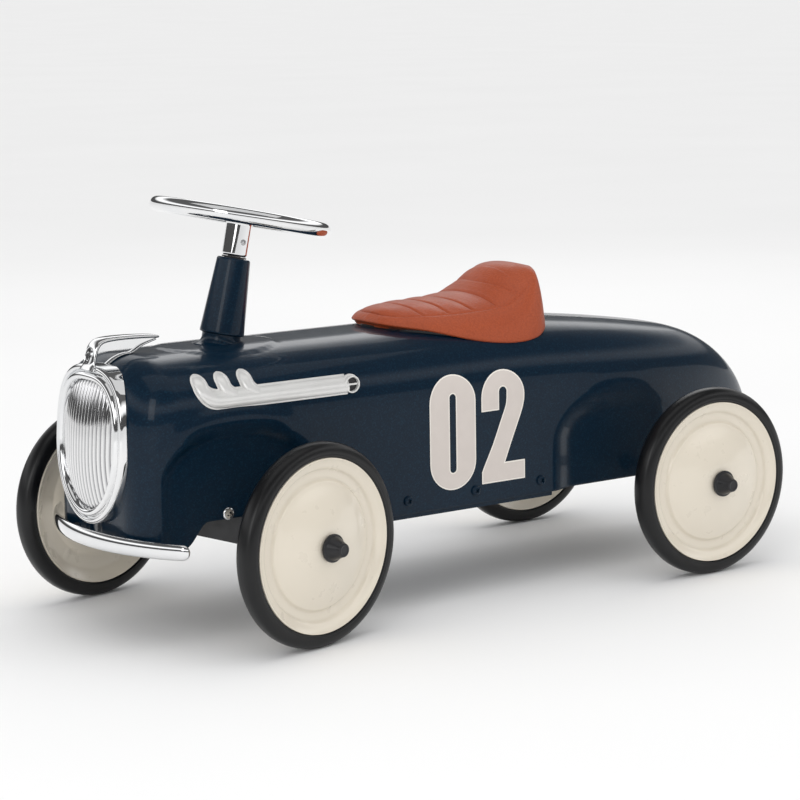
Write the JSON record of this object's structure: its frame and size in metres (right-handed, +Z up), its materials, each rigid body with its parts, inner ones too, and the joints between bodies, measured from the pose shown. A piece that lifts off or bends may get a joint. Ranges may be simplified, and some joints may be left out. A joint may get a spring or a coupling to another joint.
{
  "type": "ride-on car",
  "caption": "Foot-to-floor toy racing car: pressed steel body, saddle, chrome grille and bumper, solid-tyred disc wheels, and a front axle turned by the steering wheel.",
  "frame": {"origin": "on the floor, under the middle of the car's length and width", "axes": "+Z up, -Y is the way the car faces, +X is the driver's left"},
  "size_m": [0.3724, 0.795, 0.3945],
  "materials": {
    "navy_paint": "deep navy gloss enamel with a fine metallic fleck",
    "cream_paint": "cream gloss enamel",
    "black_paint": "black powder coat",
    "chrome": "mirror chrome plate",
    "satin_trim": "satin silver",
    "bright_steel": "zinc-plated steel",
    "bronze": "sintered bronze",
    "tyre_rubber": "smooth black rubber",
    "black_plastic": "black moulded plastic",
    "seat_leather": "tan leather-grain saddle skin",
    "number_print": "pale beige printed film"
  },
  "bodies": {
    "chassis": {"body_shell": "navy_paint", "floor_plate": "black_paint", "side_screw_left_1": "navy_paint", "side_screw_left_2": "navy_paint", "side_screw_left_3": "navy_paint", "front_screw_left": "chrome", "side_screw_right_1": "navy_paint", "side_screw_right_2": "navy_paint", "side_screw_right_3": "navy_paint", "front_screw_right": "chrome", "front_cross_member": "black_paint", "rear_axle_bracket": "black_paint", "rear_axle": "bright_steel", "rear_cap_left": "black_plastic", "rear_cap_right": "black_plastic", "column_bush": "black_plastic", "column_sleeve": "navy_paint", "seat_base": "black_paint", "seat": "seat_leather", "seat_bolt_1": "bright_steel", "seat_bolt_2": "bright_steel", "grille_surround": "chrome", "grille_insert": "satin_trim", "hood_ornament": "chrome", "ornament_badge": "black_plastic", "bumper": "chrome", "bumper_bolt_left": "bright_steel", "bumper_bolt_right": "bright_steel", "exhaust_trim_left": "satin_trim", "exhaust_trim_right": "satin_trim", "digit_0_left": "number_print", "digit_2_left": "number_print", "digit_0_right": "number_print", "digit_2_right": "number_print"},
    "steering_column": {"steering_wheel": "chrome", "steering_screw": "bright_steel", "steering_shaft": "bright_steel"},
    "front_carriage": {"front_beam": "black_paint", "kingpin": "bright_steel", "kingpin_boss": "bright_steel", "thrust_washer": "bronze", "front_axle": "bright_steel", "front_cap_left": "black_plastic", "front_cap_right": "black_plastic"},
    "front_left_wheel": {"front_left_disc_outer": "cream_paint", "front_left_disc_inner": "cream_paint", "front_left_tyre": "tyre_rubber", "front_left_bush": "black_plastic"},
    "front_right_wheel": {"front_right_disc_outer": "cream_paint", "front_right_disc_inner": "cream_paint", "front_right_tyre": "tyre_rubber", "front_right_bush": "black_plastic"},
    "rear_left_wheel": {"rear_left_disc_outer": "cream_paint", "rear_left_disc_inner": "cream_paint", "rear_left_tyre": "tyre_rubber", "rear_left_bush": "black_plastic"},
    "rear_right_wheel": {"rear_right_disc_outer": "cream_paint", "rear_right_disc_inner": "cream_paint", "rear_right_tyre": "tyre_rubber", "rear_right_bush": "black_plastic"}
  },
  "joints": [
    {"name": "front_axle_pivot", "type": "hinge", "parent": "chassis", "child": "front_carriage", "pos_m": [0, -0.2695, 0.142], "axis": [0, 0, 1], "range_deg": [-25, 1]},
    {"name": "steering_wheel_turn", "type": "hinge", "parent": "chassis", "child": "steering_column", "pos_m": [0, -0.2695, 0.142], "axis": [0, 0.2157, 0.9765], "range_deg": [-25, 1]},
    {"name": "front_left_spin", "type": "hinge", "parent": "front_carriage", "child": "front_left_wheel", "pos_m": [0.14868, -0.2379, 0.0925], "axis": [0.9781, 0.2079, 0], "continuous": true},
    {"name": "front_right_spin", "type": "hinge", "parent": "front_carriage", "child": "front_right_wheel", "pos_m": [-0.14868, -0.3011, 0.0925], "axis": [0.9781, 0.2079, 0], "continuous": true},
    {"name": "rear_left_spin", "type": "hinge", "parent": "chassis", "child": "rear_left_wheel", "pos_m": [0.152, 0.2195, 0.0925], "axis": [1, 0, 0], "continuous": true},
    {"name": "rear_right_spin", "type": "hinge", "parent": "chassis", "child": "rear_right_wheel", "pos_m": [-0.152, 0.2195, 0.0925], "axis": [1, 0, 0], "continuous": true}
  ],
  "couplings": [
    {"joint": "steering_wheel_turn", "follows": "front_axle_pivot", "ratio": 1}
  ]
}
